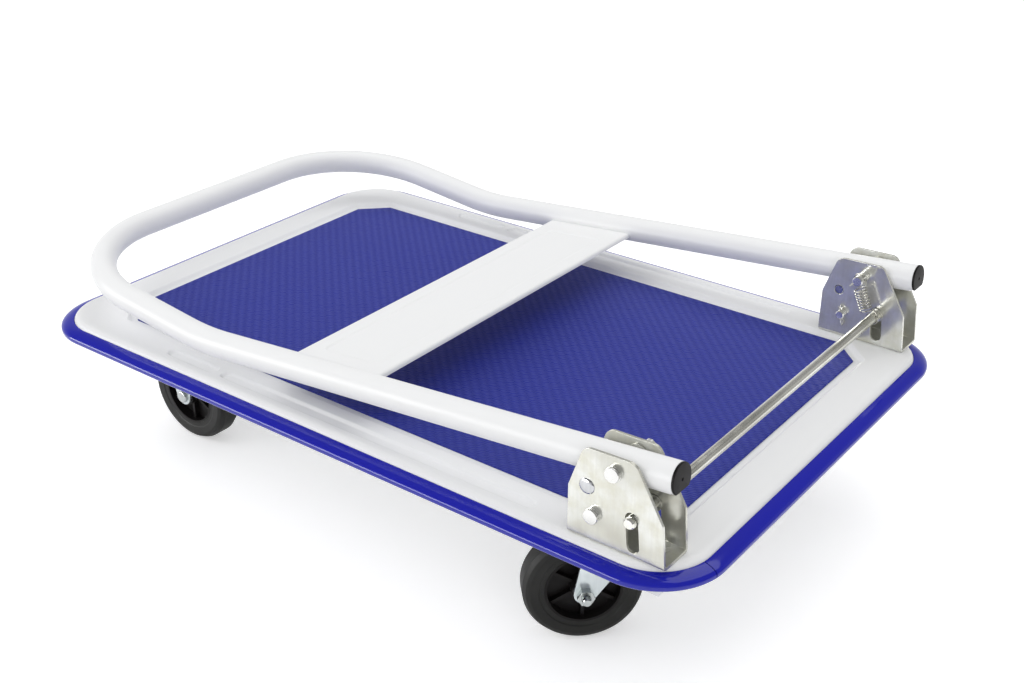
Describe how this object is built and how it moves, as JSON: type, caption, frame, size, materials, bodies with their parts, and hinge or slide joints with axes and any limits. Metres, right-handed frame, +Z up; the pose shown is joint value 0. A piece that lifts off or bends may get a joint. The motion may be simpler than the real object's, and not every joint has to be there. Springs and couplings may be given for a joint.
{
  "type": "folding platform cart",
  "caption": "Platform cart with a pressed steel deck, soft edge bumper, fixed and swivel castors and a tube handle that folds flat over the deck and latches upright",
  "frame": {"origin": "on the floor under the middle of the overall box, with the handle folded down", "axes": "+X points along the cart to the hinge end, +Z up, +Y to the right of someone who stands at the hinge end and faces the cart"},
  "size_m": [0.7554, 0.492, 0.2366],
  "materials": {
    "white_enamel": "glossy white baked enamel",
    "blue_mat": "embossed vinyl, satin",
    "blue_bumper": "soft glossy vinyl",
    "zinc": "bright zinc plate",
    "bright_steel": "bright turned steel",
    "spring_steel": "drawn spring wire",
    "black_plastic": "moulded, satin",
    "black_tyre": "solid rubber, matt"
  },
  "bodies": {
    "deck": {"deck_panel": "white_enamel", "deck_mat": "blue_mat", "edge_bumper": "blue_bumper", "cross_rail_grip_end": "white_enamel", "cross_rail_hinge_end": "white_enamel", "side_rail_left": "white_enamel", "hinge_bracket_left": "zinc", "pivot_pin_left": "bright_steel", "stop_pin_left": "bright_steel", "rest_pin_left": "bright_steel", "latch_spring_left": "spring_steel", "side_rail_right": "white_enamel", "hinge_bracket_right": "zinc", "pivot_pin_right": "bright_steel", "stop_pin_right": "bright_steel", "rest_pin_right": "bright_steel", "latch_spring_right": "spring_steel", "pivot_washers": "zinc", "pivot_cotters": "zinc", "stop_cotters": "zinc", "bracket_bolts": "zinc", "bracket_nuts": "zinc", "castor_bolts": "zinc", "castor_nuts": "zinc", "fixed_fork_left": "zinc", "swivel_plate_left": "zinc", "king_pin_left": "bright_steel", "fixed_axle_left": "zinc", "fixed_axle_nut_left": "zinc", "fixed_sleeve_left": "zinc", "fixed_fork_right": "zinc", "swivel_plate_right": "zinc", "king_pin_right": "bright_steel", "fixed_axle_right": "zinc", "fixed_axle_nut_right": "zinc", "fixed_sleeve_right": "zinc"},
    "handle": {"handle_tube": "white_enamel", "handle_panel": "white_enamel", "end_plug_left": "black_plastic", "end_plug_right": "black_plastic"},
    "latch": {"latch_rod": "bright_steel", "latch_clips": "zinc"},
    "swivel_left": {"swivel_fork_left": "zinc", "race_balls_left": "bright_steel", "swivel_axle_left": "zinc", "swivel_axle_nut_left": "zinc", "swivel_sleeve_left": "zinc"},
    "swivel_wheel_left": {"swivel_hub_left": "black_plastic", "swivel_tyre_left": "black_tyre"},
    "fixed_wheel_left": {"fixed_hub_left": "black_plastic", "fixed_tyre_left": "black_tyre"},
    "swivel_right": {"swivel_fork_right": "zinc", "race_balls_right": "bright_steel", "swivel_axle_right": "zinc", "swivel_axle_nut_right": "zinc", "swivel_sleeve_right": "zinc"},
    "swivel_wheel_right": {"swivel_hub_right": "black_plastic", "swivel_tyre_right": "black_tyre"},
    "fixed_wheel_right": {"fixed_hub_right": "black_plastic", "fixed_tyre_right": "black_tyre"}
  },
  "joints": [
    {"name": "handle_fold", "type": "hinge", "parent": "deck", "child": "handle", "pos_m": [0.30558, 0, 0.2197], "axis": [0, 1, 0], "range_deg": [0, 100.7]},
    {"name": "latch_slide", "type": "slide", "parent": "deck", "child": "latch", "axis": [-0.0958, 0, 0.9954], "range_m": [-0.0217, 0], "stiffness_N_per_m": 400, "deforming": ["latch_spring_left", "latch_spring_right"]},
    {"name": "castor_swivel_left", "type": "hinge", "parent": "deck", "child": "swivel_left", "pos_m": [0.26218, -0.133, 0.127], "axis": [0, 0, 1], "continuous": true},
    {"name": "swivel_wheel_spin_left", "type": "hinge", "parent": "swivel_left", "child": "swivel_wheel_left", "pos_m": [0.23461, -0.15916, 0.051], "axis": [-0.6884, 0.7254, 0], "continuous": true},
    {"name": "fixed_wheel_spin_left", "type": "hinge", "parent": "deck", "child": "fixed_wheel_left", "pos_m": [-0.26882, -0.133, 0.051], "axis": [0, 1, 0], "continuous": true},
    {"name": "castor_swivel_right", "type": "hinge", "parent": "deck", "child": "swivel_right", "pos_m": [0.26218, 0.133, 0.127], "axis": [0, 0, 1], "continuous": true},
    {"name": "swivel_wheel_spin_right", "type": "hinge", "parent": "swivel_right", "child": "swivel_wheel_right", "pos_m": [0.23461, 0.10684, 0.051], "axis": [-0.6884, 0.7254, 0], "continuous": true},
    {"name": "fixed_wheel_spin_right", "type": "hinge", "parent": "deck", "child": "fixed_wheel_right", "pos_m": [-0.26882, 0.133, 0.051], "axis": [0, 1, 0], "continuous": true}
  ],
  "couplings": [
    {"joint": "latch_slide", "follows": "handle_fold", "m_per_rad": -0.01229}
  ]
}
